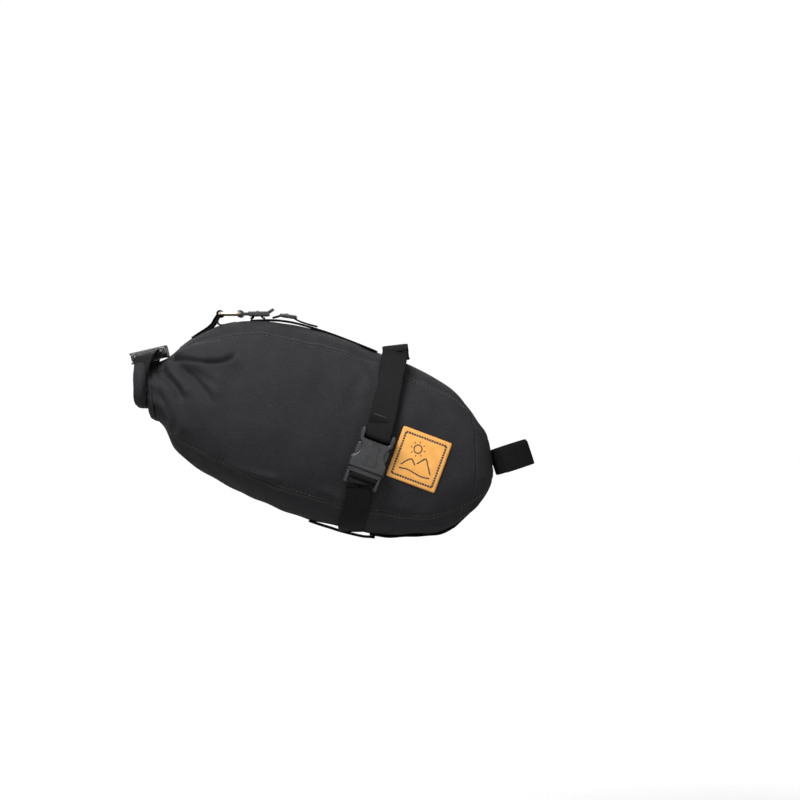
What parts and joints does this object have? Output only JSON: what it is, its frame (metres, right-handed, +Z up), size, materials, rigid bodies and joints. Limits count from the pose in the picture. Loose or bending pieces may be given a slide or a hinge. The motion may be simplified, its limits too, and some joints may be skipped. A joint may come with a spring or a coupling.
{
  "type": "saddle bag",
  "caption": "Tapered under-saddle bag with a roll-top mouth, rail loops, side compression straps with release buckles, a top strap and a seatpost strap.",
  "frame": {"origin": "centre of the seatpost strap, on the axis of the seatpost it holds", "axes": "+X forward along the bicycle, +Y to the rider's left, +Z up, with the seatpost leaning back 18 degrees"},
  "size_m": [0.3164, 0.1266, 0.1796],
  "materials": {
    "shell_fabric": "coated woven nylon, matte",
    "binding_tape": "woven tape",
    "lining": "coated ripstop",
    "stiffener": "polyethylene sheet",
    "label": "stamped tan leather",
    "webbing": "ribbed nylon webbing",
    "hook_and_loop": "brushed loop pile",
    "ring_metal": "satin plated wire",
    "buckle_plastic": "moulded acetal, satin"
  },
  "bodies": {
    "bag": {"side_panel_right": "shell_fabric", "side_panel_left": "shell_fabric", "top_panel": "shell_fabric", "bottom_panel": "shell_fabric", "nose_panel": "shell_fabric", "mouth_hem": "shell_fabric", "inner_liner": "lining", "base_stiffener": "stiffener", "nose_stiffener": "stiffener", "top_binding_right": "binding_tape", "top_binding_left": "binding_tape", "bottom_binding_right": "binding_tape", "bottom_binding_left": "binding_tape", "label_patch": "label", "bottom_spine": "webbing", "spine_loop": "webbing", "seatpost_strap": "hook_and_loop", "top_anchor": "webbing", "top_ring": "ring_metal", "top_strap": "webbing", "top_slider": "buckle_plastic", "upper_strap_right": "webbing", "upper_strap_left": "webbing", "side_female_right": "buckle_plastic", "side_female_left": "buckle_plastic", "under_strap": "webbing"},
    "ladder_lock": {"ladder_lock": "buckle_plastic"},
    "seatpost_flap": {"seatpost_flap": "hook_and_loop"},
    "closure": {"mouth_fold": "shell_fabric", "mouth_roll": "shell_fabric", "roll_tab_left": "webbing", "roll_female": "buckle_plastic"},
    "roll_male": {"roll_male": "buckle_plastic", "roll_tab_right": "webbing"},
    "roll_prong_front": {"roll_prong_front": "buckle_plastic"},
    "roll_prong_rear": {"roll_prong_rear": "buckle_plastic"},
    "side_male_right": {"side_male_right": "buckle_plastic", "lower_strap_right": "webbing"},
    "prong_front_right": {"prong_front_right": "buckle_plastic"},
    "prong_rear_right": {"prong_rear_right": "buckle_plastic"},
    "side_male_left": {"side_male_left": "buckle_plastic", "lower_strap_left": "webbing"},
    "prong_front_left": {"prong_front_left": "buckle_plastic"},
    "prong_rear_left": {"prong_rear_left": "buckle_plastic"}
  },
  "joints": [
    {"name": "side_buckle_right_release", "type": "slide", "parent": "bag", "child": "side_male_right", "axis": [-0.348, 0.0125, -0.9374], "range_m": [0, 0.022], "deforming": ["lower_strap_right"]},
    {"name": "prong_front_right_squeeze", "type": "hinge", "parent": "side_male_right", "child": "prong_front_right", "pos_m": [-0.10477, -0.05509, -0.01075], "axis": [0.1411, -0.9878, -0.0655], "range_deg": [0, 7], "stiffness_Nm_per_rad": 0.05},
    {"name": "prong_rear_right_squeeze", "type": "hinge", "parent": "side_male_right", "child": "prong_rear_right", "pos_m": [-0.12071, -0.05776, -0.00487], "axis": [-0.1411, 0.9878, 0.0655], "range_deg": [0, 7], "stiffness_Nm_per_rad": 0.05},
    {"name": "side_buckle_left_release", "type": "slide", "parent": "bag", "child": "side_male_left", "axis": [-0.348, -0.0125, -0.9374], "range_m": [0, 0.022], "deforming": ["lower_strap_left"]},
    {"name": "prong_front_left_squeeze", "type": "hinge", "parent": "side_male_left", "child": "prong_front_left", "pos_m": [-0.10477, 0.05509, -0.01075], "axis": [-0.1411, -0.9878, 0.0655], "range_deg": [0, 7], "stiffness_Nm_per_rad": 0.05},
    {"name": "prong_rear_left_squeeze", "type": "hinge", "parent": "side_male_left", "child": "prong_rear_left", "pos_m": [-0.12071, 0.05776, -0.00487], "axis": [0.1411, 0.9878, -0.0655], "range_deg": [0, 7], "stiffness_Nm_per_rad": 0.05},
    {"name": "roll_open", "type": "hinge", "parent": "bag", "child": "closure", "pos_m": [-0.2738, 0, 0.0268], "axis": [0, -1, 0], "range_deg": [0, 105]},
    {"name": "roll_buckle_release", "type": "slide", "parent": "closure", "child": "roll_male", "axis": [0, -1, 0], "range_m": [0, 0.022], "deforming": ["roll_tab_right"]},
    {"name": "roll_prong_front_squeeze", "type": "hinge", "parent": "roll_male", "child": "roll_prong_front", "pos_m": [-0.27312, -0.0077, 0.08153], "axis": [-0.225, 0, 0.9744], "range_deg": [0, 7], "stiffness_Nm_per_rad": 0.05},
    {"name": "roll_prong_rear_squeeze", "type": "hinge", "parent": "roll_male", "child": "roll_prong_rear", "pos_m": [-0.28988, -0.0077, 0.07766], "axis": [0.225, 0, -0.9744], "range_deg": [0, 7], "stiffness_Nm_per_rad": 0.05},
    {"name": "ladder_lock_lift", "type": "hinge", "parent": "bag", "child": "ladder_lock", "pos_m": [-0.211, 0, 0.1116], "axis": [0, -1, 0], "range_deg": [0, 30]},
    {"name": "seatpost_strap_open", "type": "hinge", "parent": "bag", "child": "seatpost_flap", "pos_m": [0, 0.0169, 0], "axis": [-0.309, 0, 0.9511], "range_deg": [0, 110]}
  ]
}
